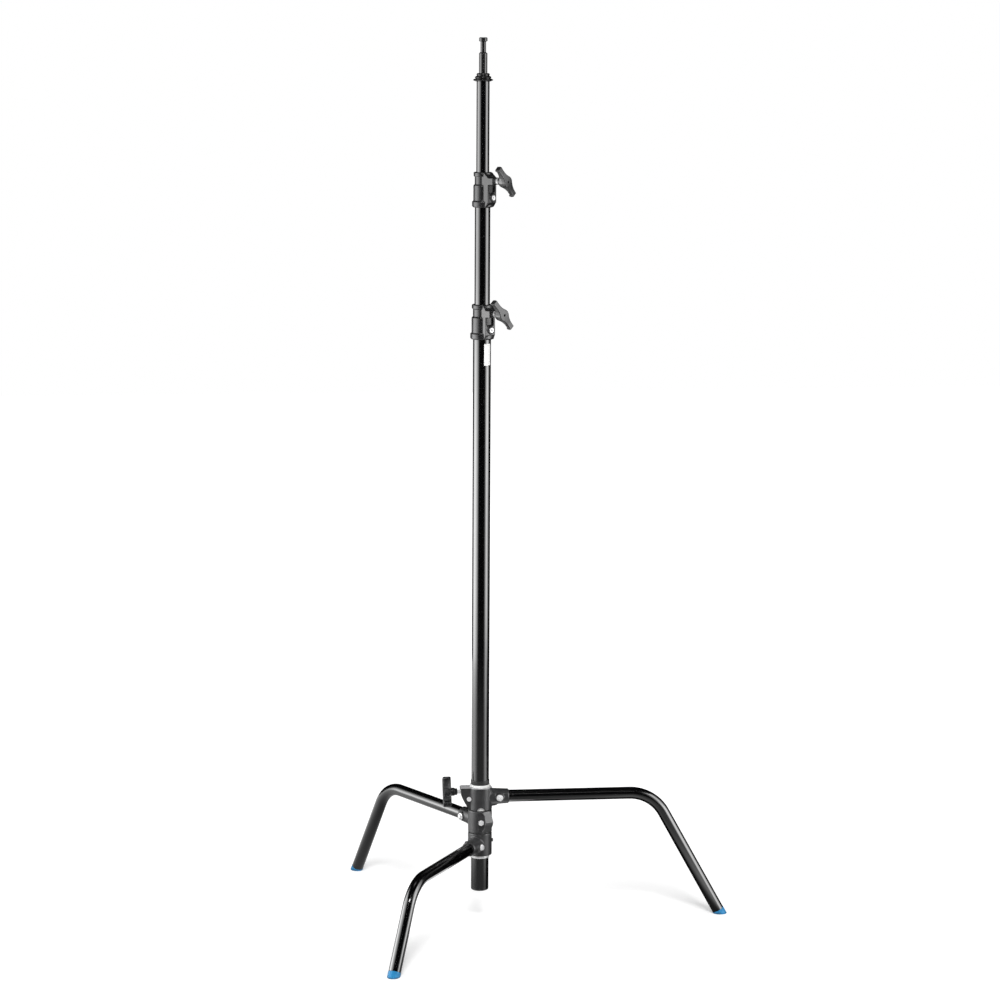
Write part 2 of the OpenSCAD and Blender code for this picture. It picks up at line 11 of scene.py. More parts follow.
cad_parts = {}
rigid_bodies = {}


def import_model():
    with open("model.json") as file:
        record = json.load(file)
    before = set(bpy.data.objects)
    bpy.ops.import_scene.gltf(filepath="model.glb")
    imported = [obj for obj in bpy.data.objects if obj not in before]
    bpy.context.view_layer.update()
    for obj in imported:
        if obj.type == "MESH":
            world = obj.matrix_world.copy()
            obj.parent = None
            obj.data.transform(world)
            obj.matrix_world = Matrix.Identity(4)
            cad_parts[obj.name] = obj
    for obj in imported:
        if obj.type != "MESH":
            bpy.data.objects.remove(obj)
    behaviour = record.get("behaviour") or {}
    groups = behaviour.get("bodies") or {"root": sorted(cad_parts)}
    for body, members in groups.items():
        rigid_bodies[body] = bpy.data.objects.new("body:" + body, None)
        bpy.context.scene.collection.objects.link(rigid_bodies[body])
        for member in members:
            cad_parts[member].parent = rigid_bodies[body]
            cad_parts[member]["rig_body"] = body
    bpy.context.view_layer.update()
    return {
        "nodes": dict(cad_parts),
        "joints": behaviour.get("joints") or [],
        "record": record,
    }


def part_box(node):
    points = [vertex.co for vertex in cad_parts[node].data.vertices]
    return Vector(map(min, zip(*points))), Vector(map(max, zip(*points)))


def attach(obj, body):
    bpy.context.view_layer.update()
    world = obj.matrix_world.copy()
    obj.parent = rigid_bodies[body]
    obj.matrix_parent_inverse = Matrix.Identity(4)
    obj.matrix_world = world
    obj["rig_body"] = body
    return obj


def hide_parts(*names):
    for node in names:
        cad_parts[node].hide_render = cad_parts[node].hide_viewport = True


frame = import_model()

bl_info = {
    "name": "C stand",
    "version": (1, 0, 0),
    "blender": (4, 5, 0),
    "location": "View3D > Sidebar > C stand",
    "description": "Dresses the packed C stand with its finishes, cast pieces and studio",
    "category": "Object",
}

MM = 0.001
SLOT_OF = {row["node"]: row["material_slot"] for row in frame["record"]["subparts"]}

# The camera that took the photograph, in the frame of the part, from the feet, bends and mast.
CAMERA_PLACE = Vector((-0.6627, -6.0659, 1.877))
CAMERA_YAW, CAMERA_PITCH, CAMERA_ROLL = (math.radians(a) for a in (6.579, 9.515, 0.307))
FOCAL_PIXELS, IMAGE_PIXELS, SENSOR = 3152.9, 1000, 36.0
CAMERA_AZIMUTH = math.atan2(CAMERA_PLACE.y, CAMERA_PLACE.x)


# Shader arithmetic


class Wire:
    """A socket in a material: arithmetic on it adds Math nodes."""

    def __init__(self, finish, socket):
        self.finish, self.socket = finish, socket

    def _math(self, operation, first, second):
        return self.finish.node("ShaderNodeMath", {"operation": operation}, {0: first, 1: second})

    def __add__(self, other):
        return self._math("ADD", self, other)

    __radd__ = __add__

    def __sub__(self, other):
        return self._math("SUBTRACT", self, other)

    def __rsub__(self, other):
        return self._math("SUBTRACT", other, self)

    def __mul__(self, other):
        return self._math("MULTIPLY", self, other)

    __rmul__ = __mul__

    def __abs__(self):
        return self.finish.node("ShaderNodeMath", {"operation": "ABSOLUTE"}, {0: self})


class Finish:
    """A material, or the world, that is built from nodes."""

    def __init__(self, name, owner=None):
        self.material = owner or bpy.data.materials.new(name)
        self.material.use_nodes = True
        self.tree = self.material.node_tree
        self.tree.nodes.clear()

    def node(self, kind, settings=None, inputs=None, out=0):
        """Adds a node: settings first, then the values or links of its sockets."""
        made = self.tree.nodes.new(kind)
        for key, value in (settings or {}).items():
            if key == "stops":
                ramp = made.color_ramp
                while len(ramp.elements) < len(value):
                    ramp.elements.new(1.0)
                for element, (place, shade) in zip(ramp.elements, value):
                    element.position, element.color = place, (shade, shade, shade, 1.0)
            else:
                setattr(made, key, value)
        for key, value in (inputs or {}).items():
            if isinstance(value, Wire):
                self.tree.links.new(value.socket, made.inputs[key])
            else:
                made.inputs[key].default_value = value
        return Wire(self, made.outputs[out]) if made.outputs else None

    def place(self, stretch=None, turn=None):
        """Object coordinates, stretched or turned."""
        here = self.node("ShaderNodeTexCoord", out=3)
        if stretch is None and turn is None:
            return here
        inputs = {"Vector": here}
        if stretch is not None:
            inputs["Scale"] = stretch
        if turn is not None:
            inputs["Rotation"] = turn
        return self.node("ShaderNodeMapping", None, inputs)

    def height(self):
        """Height over the floor, at rest."""
        return self.node("ShaderNodeSeparateXYZ", None, {0: self.place()}, out=2)

    def distance(self, point):
        """Distance from a point."""
        return self.node(
            "ShaderNodeVectorMath", {"operation": "DISTANCE"}, {0: self.place(), 1: point}, out=1
        )

    def noise(self, scale, detail, stretch=None):
        return self.node(
            "ShaderNodeTexNoise",
            None,
            {"Vector": self.place(stretch), "Scale": scale, "Detail": detail, "Roughness": 0.5},
        )

    def ramp(self, value, stops):
        """Greys between stops, each a place on the ramp and its shade."""
        return self.node("ShaderNodeValToRGB", {"stops": stops}, {0: value})

    def step(self, value, low, high):
        """0 below low, 1 above high, smooth between."""
        return self.node(
            "ShaderNodeMapRange",
            {"interpolation_type": "SMOOTHSTEP"},
            {"Value": value, "From Min": low, "From Max": high},
        )

    def mix(self, factor, first, second):
        """A colour between two colours."""
        first, second = (c if isinstance(c, Wire) else (*c, 1.0) for c in (first, second))
        return self.node(
            "ShaderNodeMix", {"data_type": "RGBA"}, {0: factor, 6: first, 7: second}, out=2
        )

    def bump(self, height, strength, depth, soften=None):
        """A Bump normal; soften is the radius that sharp edges are rounded to in shading."""
        inputs = {"Strength": strength, "Distance": depth, "Height": height}
        if soften:
            inputs["Normal"] = self.node("ShaderNodeBevel", {"samples": 6}, {"Radius": soften})
        return self.node("ShaderNodeBump", None, inputs)

    def surface(self, **values):
        """The Principled shader and the output; keys are socket names with _ for a space."""
        inputs = {key.replace("_", " "): value for key, value in values.items()}
        shader = self.node("ShaderNodeBsdfPrincipled", None, inputs)
        self.node("ShaderNodeOutputMaterial", None, {"Surface": shader})
        return self.material


def tint(colour, share, lift=0.0):
    """A colour that is darkened or lightened."""
    return [min(1.0, c * share + lift) for c in colour]


def grey(shade):
    return (shade, shade, shade)


def gloss_black_tube(colours):
    """Gloss black coated steel tube, with orange peel, lengthwise hairlines and fine dust."""
    finish = Finish("gloss_black_tube")
    smudge = finish.noise(26, 3)
    hairline = finish.step(finish.noise(900, 1, stretch=(1, 1, 0.012)), 0.62, 0.74)
    dust = finish.step(finish.noise(1500, 1), 0.70, 0.78)
    colour = finish.mix(
        dust * 0.06 + hairline * 0.06, colours.tube, tint(colours.tube, 4, 0.012)
    )
    height = finish.noise(300, 2) + hairline * -0.4
    return finish.surface(
        Base_Color=colour,
        Roughness=0.12 + smudge * 0.1 + hairline * 0.06 + dust * 0.12,
        Normal=finish.bump(height, 0.05, 0.3 * MM, soften=0.4 * MM),
        IOR=1.5,
        Coat_Weight=0.9,
        Coat_Roughness=0.07,
    )


def cast_finish(name, colour, rough, edge, sheen, machined=None):
    """Satin coated die casting: fine sand texture, soft mottling, and convex edges lightened partly
    as rubbed wear and partly as painted highlight.
    A face at the height machined is milled to bare metal."""
    finish = Finish(name)
    sand = finish.noise(1300, 3)
    cloud = finish.noise(60, 3)
    # convex edges, found by pointiness and lightened below: partly rubbed wear, partly a painted
    # edge highlight
    rubbed = finish.step(
        finish.node("ShaderNodeNewGeometry", out=7) + (cloud - 0.5) * 0.12, 0.53, 0.60
    )
    tone = finish.mix(finish.step(cloud, 0.35, 0.7), tint(colour, 0.85), tint(colour, 1.2))
    tone = finish.mix(rubbed * edge, tone, tint(colour, 2.2, 0.12))
    metal = 0.0
    if machined:
        bare = finish.step(finish.height(), machined - 0.9 * MM, machined - 0.2 * MM)
        tone = finish.mix(bare, tone, (0.58, 0.58, 0.59))
        metal = bare * 0.3
    height = sand * 0.6 + finish.noise(240, 2) * 0.4
    return finish.surface(
        Base_Color=tone,
        Metallic=metal,
        Roughness=rough - 0.05 + cloud * 0.12 - rubbed * 0.08,
        Normal=finish.bump(height, 0.16, 0.35 * MM, soften=0.7 * MM),
        IOR=1.5,
        Coat_Weight=sheen,
        Coat_Roughness=0.26,
    )


def zinc_plate(colours):
    """Bright zinc plate: cloudy sheen, fine turning lines and dull spots."""
    finish = Finish("zinc_plate")
    cloud = finish.noise(160, 4)
    grain = finish.noise(2600, 1)
    spot = finish.step(finish.noise(700, 2), 0.66, 0.8)
    zinc = colours.zinc
    colour = finish.mix(finish.step(cloud, 0.3, 0.75), zinc, tint(zinc, 0.82))
    return finish.surface(
        Base_Color=finish.mix(spot * 0.5, colour, tint(zinc, 0.45)),
        Metallic=0.3,
        Roughness=0.24 + cloud * 0.14 + spot * 0.15,
        Normal=finish.bump(grain, 0.08, 0.2 * MM, soften=0.35 * MM),
    )


def blackened_steel(colours):
    """Black oxide steel: dark oiled film with handling marks."""
    finish = Finish("blackened_steel")
    cloud = finish.noise(90, 4)
    scratch = finish.step(finish.noise(1100, 1, stretch=(1, 1, 0.06)), 0.64, 0.76)
    steel = colours.dark_steel
    colour = finish.mix(finish.step(cloud, 0.3, 0.7), steel, tint(steel, 1.7))
    return finish.surface(
        Base_Color=finish.mix(scratch * 0.08, colour, (0.1, 0.1, 0.105)),
        IOR=1.6,
        Roughness=0.14 + cloud * 0.1 + scratch * 0.08,
        Normal=finish.bump(finish.noise(1800, 2), 0.06, 0.2 * MM, soften=0.35 * MM),
    )


def blue_rubber(colours):
    """Blue moulded rubber foot: fine grain, chalky scuffs and a dirty tread edge."""
    finish = Finish("blue_rubber")
    cloud = finish.noise(90, 4)
    grain = finish.noise(2200, 2)
    tread = 1 - finish.step(finish.height(), 0.5 * MM, 4 * MM)
    dirt = tread * finish.step(cloud, 0.38, 0.62)
    scuff = finish.step(finish.noise(420, 3), 0.60, 0.74)
    colour = finish.mix(finish.step(cloud, 0.3, 0.7), colours.foot, tint(colours.foot, 0.78))
    colour = finish.mix(scuff * 0.22, colour, (0.16, 0.36, 0.58))
    return finish.surface(
        Base_Color=finish.mix(dirt * 0.6, colour, (0.03, 0.05, 0.07)),
        Roughness=0.42 + cloud * 0.14 + scuff * 0.15,
        Normal=finish.bump(grain, 0.12, 0.25 * MM, soften=0.8 * MM),
        IOR=1.48,
    )


def moulded_plastic(name, colour, rough, grain_size, glint):
    """Moulded plastic or rubber: spark-eroded grain and handling polish."""
    finish = Finish(name)
    cloud = finish.noise(70, 3)
    grain = finish.noise(grain_size, 2)
    polish = finish.step(cloud, 0.45, 0.7)
    peaks = finish.step(grain, 0.6, 0.8)
    tone = finish.mix(polish, tint(colour, 0.85), tint(colour, 1.2, 0.004))
    return finish.surface(
        Base_Color=finish.mix(peaks * 0.3, tone, tint(colour, 1.5, 0.01)),
        Roughness=rough + grain * 0.1 - polish * 0.07,
        Normal=finish.bump(grain, glint, 0.25 * MM, soften=0.6 * MM),
        IOR=1.48,
    )


def sintered_bronze(colours):
    """Sintered bronze pad: open pores and a dull rubbed face."""
    finish = Finish("sintered_bronze")
    pores = finish.step(finish.noise(3000, 2), 0.55, 0.7)
    cloud = finish.noise(200, 3)
    bronze = colours.bronze
    colour = finish.mix(finish.step(cloud, 0.3, 0.7), bronze, tint(bronze, 0.7))
    return finish.surface(
        Base_Color=finish.mix(pores * 0.6, colour, tint(bronze, 0.3)),
        Metallic=0.9,
        Roughness=0.35 + pores * 0.3,
        Normal=finish.bump(1 - pores, 0.15, 0.2 * MM, soften=0.3 * MM),
    )


def blank_vinyl(colours):
    """Blank white vinyl label: faint mottling and a handled sheen."""
    finish = Finish("blank_vinyl")
    cloud = finish.noise(220, 3)
    colour = finish.mix(finish.step(cloud, 0.35, 0.75), colours.label, tint(colours.label, 0.9))
    return finish.surface(
        Base_Color=colour,
        Roughness=0.3 + cloud * 0.15,
        Normal=finish.bump(finish.noise(900, 2), 0.05, 0.1 * MM),
        Specular_IOR_Level=0.2,
    )


def slot_finishes():
    """Material slot to finished material."""
    c = bpy.context.scene.cstand_colours
    boss_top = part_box("top_casting")[1].z
    return {
        "tube_black": gloss_black_tube(c),
        # name, colour, roughness, edge lightening (rubbed wear and painted highlight), coat,
        # machined face height
        "cast_dark": cast_finish("cast_dark_satin", c.cast_base, 0.36, 0.5, 0.3, boss_top),
        "cast_satin": cast_finish("cast_collar_satin", c.cast_collar, 0.28, 0.25, 0.08),
        "zinc_steel": zinc_plate(c),
        "dark_steel": blackened_steel(c),
        "foot_blue": blue_rubber(c),
        "plastic_black": moulded_plastic("black_plastic", c.plastic, 0.34, 1700, 0.12),
        "rubber_black": moulded_plastic("black_rubber", c.rubber, 0.55, 1500, 0.15),
        "nylon_white": moulded_plastic("white_nylon", c.nylon, 0.38, 1400, 0.06),
        "nylon_black": moulded_plastic("black_nylon", c.plastic, 0.40, 1400, 0.06),
        "bronze": sintered_bronze(c),
        "label": blank_vinyl(c),
    }


# The finishes by slot, once they are made, and the nodes that don't show their own slot's finish
# because they are painted over.
FINISHES = {}
PAINTED = {"spigot_pin": "tube_black"}


def dress(obj, slot):
    """Gives a piece its slot's finish."""
    obj.data.materials.clear()
    obj.data.materials.append(FINISHES[slot])


# Properties


def colour_property(name, description, default):
    return FloatVectorProperty(
        name=name, description=description, default=default, subtype="COLOR", size=3, min=0, max=1
    )


class CStandColours(bpy.types.PropertyGroup):
    """Colours of the finishes, in linear light."""

    tube: colour_property("Tube", "Gloss black of the mast and legs", (0.0015, 0.0015, 0.0017))
    cast_base: colour_property("Base castings", "Satin coat of the base", (0.027, 0.027, 0.028))
    cast_collar: colour_property("Collars", "Coat of collars and handles", (0.012, 0.012, 0.0125))
    zinc: colour_property("Zinc", "Bright plate of bolts and rings", (0.93, 0.93, 0.935))
    dark_steel: colour_property("Dark steel", "Black oxide of the spigot", (0.005, 0.005, 0.0052))
    foot: colour_property("Feet", "Blue rubber feet", (0.022, 0.235, 0.50))
    plastic: colour_property("Plastic", "Black knob and bushes", (0.006, 0.006, 0.0065))
    rubber: colour_property("Rubber", "Black wiper ring", (0.012, 0.012, 0.012))
    nylon: colour_property("Nylon", "White slide bushes", (0.90, 0.90, 0.885))
    bronze: colour_property("Bronze", "Clamp shoes", (0.60, 0.42, 0.18))
    label: colour_property("Label", "Blank label", (0.90, 0.90, 0.89))


def length_property(name, description, default):
    return FloatProperty(
        name=name, description=description, default=default, min=0, unit="LENGTH", precision=4
    )


def angle_property(name, description, degrees):
    return FloatProperty(
        name=name, description=description, default=math.radians(degrees), subtype="ANGLE"
    )


class CStandSizes(bpy.types.PropertyGroup):
    """Sizes of the pieces that are modelled here."""

    cast_grain: length_property("Casting grain", "Cell size of the cast surfaces", 0.75 * MM)
    cast_passes: IntProperty(name="Fillet", description="Rounding passes", default=3, min=0, max=40)
    handle_turn: angle_property("Handle turn", "Turn of the T handles as tightened", 41)
    knob_turn: angle_property("Knob turn", "Turn of the T knob as tightened", 25)
    thread_pitch: length_property("Stud pitch", "Thread pitch of the knob stud", 1.0 * MM)
    label_width: length_property("Label width", "Width of the blank label", 15.5 * MM)
    label_height: length_property("Label height", "Height of the blank label", 42 * MM)
    label_gap: length_property("Label gap", "Label's top under the collar", 8 * MM)
    label_azimuth: angle_property("Label azimuth", "Where the label faces", -57)


# Operators


class CSTAND_OT_finishes(bpy.types.Operator):
    """Gives every node of the frame the finish of its material slot"""

    bl_idname = "cstand.finishes"
    bl_label = "Finishes"

    def execute(self, context):
        FINISHES.update(slot_finishes())
        for name, node in frame["nodes"].items():
            dress(node, PAINTED.get(name, SLOT_OF[name]))
        return {"FINISHED"}


def area_lamp(name, angle, distance, height, size, power, aim):
    """A soft lamp for the diffuse light; the tent gives what shows in the gloss."""
    light = bpy.data.lights.new(name, "AREA")
    light.shape, light.size, light.energy = "DISK", size, power
    lamp = bpy.data.objects.new(name, light)
    bpy.context.scene.collection.objects.link(lamp)
    azimuth = CAMERA_AZIMUTH + math.radians(angle)
    lamp.location = (distance * math.cos(azimuth), distance * math.sin(azimuth), height)
    way = Vector((0, 0, aim)) - lamp.location
    lamp.rotation_euler = way.to_track_quat("-Z", "Y").to_euler()
    lamp.visible_glossy = False


def background_rays(finish):
    """1 for rays that see the background: camera, glossy and transmission rays."""
    seen = [finish.node("ShaderNodeLightPath", out=i) for i in (0, 3, 6)]
    return finish.node("ShaderNodeClamp", None, {0: seen[0] + seen[1] + seen[2]})


class CSTAND_OT_stage(bpy.types.Operator):
    """Sets up the camera, the pale floor, the soft lamps and the reflection tent"""

    bl_idname = "cstand.stage"
    bl_label = "Studio"

    # name, degrees from the camera, distance, height, size, watts, height that it aims at
    lamps = (
        ("key_lamp", 2, 4.2, 5.0, 2.0, 308, 0.3),
        ("left_lamp", -70, 2.3, 1.9, 1.8, 11, 0.7),
        ("right_lamp", 66, 2.3, 1.7, 1.8, 9, 0.7),
        ("top_lamp", 20, 0.6, 3.4, 2.4, 10, 0.3),
    )
    ambient = 0.25
    clip_end = 200

    floor_size, floor_drop = 16.0, 0.4 * MM
    paint_shades = (0.80, 0.78)
    # the floor's glow by the mast, around it and far off, and where one turns into the next
    # the glow by the mast is a painted pool of light, which fades the shadows round it
    mast_glow, floor_glow, far_glow = 0.57, 0.27, 1.0
    mast_centre, mast_edge = (0, 0.12, 0), (0.1, 0.36)
    far_centre, far_edge = (-0.1, -1.2, 0), (0.6, 4.0)

    tent_radius, tent_height, tent_hole, tent_lift, tent_sides = 2.4, 3.2, 0.14, 2 * MM, 96
    # degrees from the camera and brightness of the soft boxes, on the tent's wall and its floor
    wall_boxes = (
        (-124, 0), (-116, 2.4), (-108, 5.6), (-97, 8.6), (-80, 9.0), (-63, 6.2), (-48, 3.2),
        (-39, 0.7), (-34, 0), (36, 0), (42, 0.2), (50, 1.6), (58, 6.2), (70, 10), (80, 8.6),
        (91, 4.2), (100, 2.6), (107, 0),
    )
    floor_boxes = (
        (-180, 1.0), (-150, 3.6), (-120, 4.4), (-103, 7.5), (-85, 9.6), (-63, 6.0), (-45, 1.5),
        (-34, 0), (35, 0), (48, 1.5), (58, 6.0), (70, 10), (80, 8.0), (92, 1.0), (102, 0),
        (150, 0), (180, 1.0),
    )
    brightest = 10
    # share of the tent's height and of the light there
    wall_fade = ((0, 0.85), (0.07, 0.98), (0.2, 1.0), (0.34, 0.6), (0.7, 0.6), (0.8, 0))
    # bands at the foot of the right wall: from and to which height, and how much is taken away
    right_from, right_bands = (0.0, 0.3), ((0.35, 0.7, 0.25), (0.02, 0.12, 0.3))
    # share of the tent's radius and of the light on its floor, at the sides and ahead
    floor_spread = ((0, 0.05), (0.12, 0.06), (0.22, 0.15), (0.46, 0.25), (0.75, 0.28), (1, 0.45))
    floor_ahead = ((0, 0.27), (0.6, 0.25), (0.7, 0.2), (0.83, 0.1), (1, 0.03))
    ahead_edge, floor_edge = (0.7, 1.2), (0.004, 0.01)
    # the tent's lid, from its height down, and the share of its radius that is lit
    lid_edge, lid_strip, lid_light = (0.01, 0.002), (0.10, 0.20), 1.1
    # small lamps over the camera: angle, half width of the core and of the whole, brightness
    spots = ((-0.04, 0.12, 0.24, 20), (0.2, 0.2, 0.45, 0.7))
    spots_low, spots_high = (2.3, 2.5), (2.85, 3.0)

    def camera(self, scene):
        forward = Vector(
            (
                math.sin(CAMERA_YAW) * math.cos(CAMERA_PITCH),
                math.cos(CAMERA_YAW) * math.cos(CAMERA_PITCH),
                -math.sin(CAMERA_PITCH),
            )
        )
        right = Vector((math.cos(CAMERA_YAW), -math.sin(CAMERA_YAW), 0))
        up = right.cross(forward)
        c, s = math.cos(CAMERA_ROLL), math.sin(CAMERA_ROLL)
        right, up = right * c + up * s, up * c - right * s
        turn = Matrix((right, up, -forward)).transposed().to_4x4()
        data = bpy.data.cameras.new("photo_camera")
        data.sensor_width = SENSOR
        data.lens = FOCAL_PIXELS * SENSOR / IMAGE_PIXELS
        data.clip_end = self.clip_end
        camera = bpy.data.objects.new("photo_camera", data)
        camera.matrix_world = Matrix.Translation(CAMERA_PLACE) @ turn
        scene.collection.objects.link(camera)
        scene.camera = camera

    def world(self, scene):
        scene.world = scene.world or bpy.data.worlds.new("studio")
        finish = Finish("studio", scene.world)
        ambient = finish.node("ShaderNodeBackground", None, {"Strength": self.ambient})
        white = finish.node("ShaderNodeBackground", None, {"Color": (1, 1, 1, 1), "Strength": 1.0})
        shader = finish.node(
            "ShaderNodeMixShader", None, {0: background_rays(finish), 1: ambient, 2: white}
        )
        finish.node("ShaderNodeOutputWorld", None, {"Surface": shader})

    def floor(self):
        bpy.ops.mesh.primitive_plane_add(size=self.floor_size, location=(0, 0, -self.floor_drop))
        floor = bpy.context.object
        floor.name = "studio_floor"
        finish = Finish("pale_floor")
        pale, dull = (grey(shade) for shade in self.paint_shades)
        colour = finish.mix(finish.noise(40, 3) * 0.1, pale, dull)
        paint = finish.node("ShaderNodeBsdfDiffuse", None, {"Color": colour})
        # painted pool of light: the floor glows more round the mast, so shadows fade there
        around = finish.step(finish.distance(self.mast_centre), *self.mast_edge)
        far = finish.step(finish.distance(self.far_centre), *self.far_edge)
        light = finish.mix(around, grey(self.mast_glow), grey(self.floor_glow))
        light = finish.mix(far, light, grey(self.far_glow))
        glow = finish.node("ShaderNodeEmission", None, {"Color": light, "Strength": 1.0})
        both = finish.node("ShaderNodeAddShader", None, {0: paint, 1: glow})
        shader = finish.node(
            "ShaderNodeMixShader", None, {0: background_rays(finish), 1: paint, 2: both}
        )
        finish.node("ShaderNodeOutputMaterial", None, {"Surface": shader})
        floor.data.materials.append(finish.material)

    def tent(self):
        """Soft boxes left and right and dark flags, which only the gloss sees."""
        bpy.ops.mesh.primitive_cylinder_add(
            vertices=self.tent_sides,
            radius=self.tent_radius,
            depth=self.tent_height,
            location=(0, 0, self.tent_height / 2 + self.tent_lift),
        )
        tent = bpy.context.object
        tent.name = "reflection_tent"
        bpy.ops.object.transform_apply(location=True, rotation=True, scale=True)
        bpy.ops.object.mode_set(mode="EDIT")
        pick(tent, "FACE", lambda f: f.normal.z < -0.9)
        bpy.ops.mesh.inset(thickness=self.tent_radius - self.tent_hole)
        pick(tent, "FACE", lambda f: f.normal.z < -0.9 and len(f.verts) > 4)
        bpy.ops.mesh.delete(type="FACE")
        bpy.ops.object.mode_set(mode="OBJECT")
        finish = Finish("soft_boxes")
        turned = finish.place(turn=(0, 0, -CAMERA_AZIMUTH))
        along, across, level = (
            finish.node("ShaderNodeSeparateXYZ", None, {0: turned}, out=i) for i in range(3)
        )
        angle = finish.node("ShaderNodeMath", {"operation": "ARCTAN2"}, {0: across, 1: along})
        share = angle * (0.5 / math.pi) + 0.5

        def stops(rows):
            return [((degrees + 180) / 360, value / self.brightest) for degrees, value in rows]

        def within(value, inner, outer):
            return 1 - finish.step(value, inner, outer)

        ring = finish.node(
            "ShaderNodeMath", {"operation": "SQRT"}, {0: along * along + across * across}
        ) * (1 / self.tent_radius)
        low = within(level, *self.floor_edge)
        right = finish.step(angle, *self.right_from)
        dim = sum(within(level, foot, head) * taken for foot, head, taken in self.right_bands)
        fade = finish.ramp(level * (1 / self.tent_height), self.wall_fade) * (1 - right * dim)
        wall = finish.ramp(share, stops(self.wall_boxes)) * fade * (1 - low)
        ground = low * finish.ramp(share, stops(self.floor_boxes))
        ground = ground * finish.ramp(ring, self.floor_spread)
        ahead = low * finish.ramp(ring, self.floor_ahead) * within(abs(angle), *self.ahead_edge)
        lid = finish.step(level, *(self.tent_height - edge for edge in self.lid_edge))
        strip = lid * within(ring, *self.lid_strip) * self.lid_light
        spot = sum(
            within(abs(angle - centre), core, whole) * bright
            for centre, core, whole, bright in self.spots
        )
        spot = spot * finish.step(level, *self.spots_low) * within(level, *self.spots_high)
        value = (wall + ground) * self.brightest + ahead + strip + spot
        colour = finish.node("ShaderNodeCombineXYZ", None, {0: value, 1: value, 2: value})
        glow = finish.node("ShaderNodeEmission", None, {"Color": colour, "Strength": 1.0})
        finish.node("ShaderNodeOutputMaterial", None, {"Surface": glow})
        tent.data.materials.append(finish.material)
        tent.visible_camera = tent.visible_diffuse = tent.visible_transmission = False
        tent.visible_shadow = tent.visible_volume_scatter = False

    def execute(self, context):
        scene = context.scene
        scene.view_settings.view_transform = "Standard"
        self.camera(scene)
        self.world(scene)
        self.floor()
        self.tent()
        for row in self.lamps:
            area_lamp(*row)
        return {"FINISHED"}


# Bench work: selecting by place and shaping with Blender's own tools


def deselect():
    bpy.ops.object.select_all(action="DESELECT")


def activate(obj):
    deselect()
    obj.select_set(True)
    bpy.context.view_layer.objects.active = obj


def start(name, add, **where):
    """Adds a primitive at its size and place and opens it in edit mode."""
    deselect()
    add(**where)
    obj = bpy.context.object
    obj.name = obj.data.name = name
    bpy.ops.object.transform_apply(location=True, rotation=True, scale=True)
    bpy.ops.object.mode_set(mode="EDIT")
    return obj


QUARTER = math.pi / 2
LIE_ALONG = {"X": (0, QUARTER, 0), "Y": (QUARTER, 0, 0), "Z": (0, 0, 0)}


def stock(name, axis, vertices, radius, low, high, **more):
    """Starts a piece from round or hexagon stock on an axis, from low to high."""
    return start(
        name,
        bpy.ops.mesh.primitive_cylinder_add,
        vertices=vertices,
        radius=radius,
        depth=high - low,
        location=[(low + high) / 2 * (letter == axis) for letter in "XYZ"],
        rotation=LIE_ALONG[axis],
        **more,
    )


def block(name, low_x, high_x, width, length):
    """Starts a piece from a block that is centred on the X axis."""
    return start(
        name,
        bpy.ops.mesh.primitive_cube_add,
        size=1,
        location=((low_x + high_x) / 2, 0, 0),
        scale=(high_x - low_x, width, length),
    )


def close():
    """Makes the faces of the piece under work point outwards and leaves edit mode."""
    bpy.ops.mesh.select_all(action="SELECT")
    bpy.ops.mesh.normals_make_consistent(inside=False)
    bpy.ops.object.mode_set(mode="OBJECT")


def pick(obj, kind, test):
    """Selects the elements of an object in edit mode that pass the test."""
    bpy.ops.mesh.select_mode(type=kind)
    bpy.ops.mesh.select_all(action="DESELECT")
    mesh = bmesh.from_edit_mesh(obj.data)
    rows = {"VERT": mesh.verts, "EDGE": mesh.edges, "FACE": mesh.faces}[kind]
    found = [row for row in rows if test(row)]
    if not found:
        raise RuntimeError(f"nothing to select on {obj.name}")
    for row in found:
        row.select_set(True)
    mesh.select_flush_mode()
    bmesh.update_edit_mesh(obj.data)


def near(a, b, slack=0.05 * MM):
    return abs(a - b) < slack


def flat(edge, axis):
    """Whether both ends of an edge have the same place on an axis."""
    return near(edge.verts[0].co[axis], edge.verts[1].co[axis])


def faces_at(axis, place):
    """A test for faces whose middle is at a place on an axis."""
    return lambda face: near(face.calc_center_median()[axis], place)


def looks_along_x(face):
    return face.normal.x > 0.9


def widen(factor, x):
    """Scales what is selected away from the X axis."""
    bpy.ops.transform.resize(value=(1, factor, factor), center_override=(x, 0, 0))


def cut(place, normal):
    """Cuts the whole piece by a plane, which adds a ring of edges."""
    bpy.ops.mesh.select_all(action="SELECT")
    bpy.ops.mesh.bisect(plane_co=place, plane_no=normal)


def shift(obj, test, value):
    """Moves the points that pass the test."""
    pick(obj, "VERT", test)
    bpy.ops.transform.translate(value=value)


def push(value):
    """Extrudes the selected faces."""
    bpy.ops.mesh.extrude_region_move(TRANSFORM_OT_translate={"value": value})


def apply(obj, kind, **settings):
    """Adds a modifier and applies it."""
    modifier = obj.modifiers.new(kind.lower(), kind)
    for key, value in settings.items():
        setattr(modifier, key, value)
    activate(obj)
    bpy.ops.object.modifier_apply(modifier=modifier.name)


def round_edges(obj, width):
    """Rounds the sharp edges of a piece."""
    apply(
        obj, "BEVEL", width=width, segments=3, limit_method="ANGLE", angle_limit=math.radians(30)
    )


def carve(obj, cutter):
    """Takes a cutter's shape away from a piece."""
    apply(obj, "BOOLEAN", operation="DIFFERENCE", object=cutter, solver="EXACT")
    scrap(cutter)


def join(first, *others):
    activate(first)
    for other in others:
        other.select_set(True)
    bpy.ops.object.join()
    return first


def copy_of(obj, name, matrix):
    """A copy with its own mesh, put in its place."""
    made = bpy.data.objects.new(name, obj.data.copy())
    made.data.name = name
    made.data.transform(matrix)
    bpy.context.scene.collection.objects.link(made)
    return made


def scrap(obj):
    mesh = obj.data
    bpy.data.objects.remove(obj)
    bpy.data.meshes.remove(mesh)


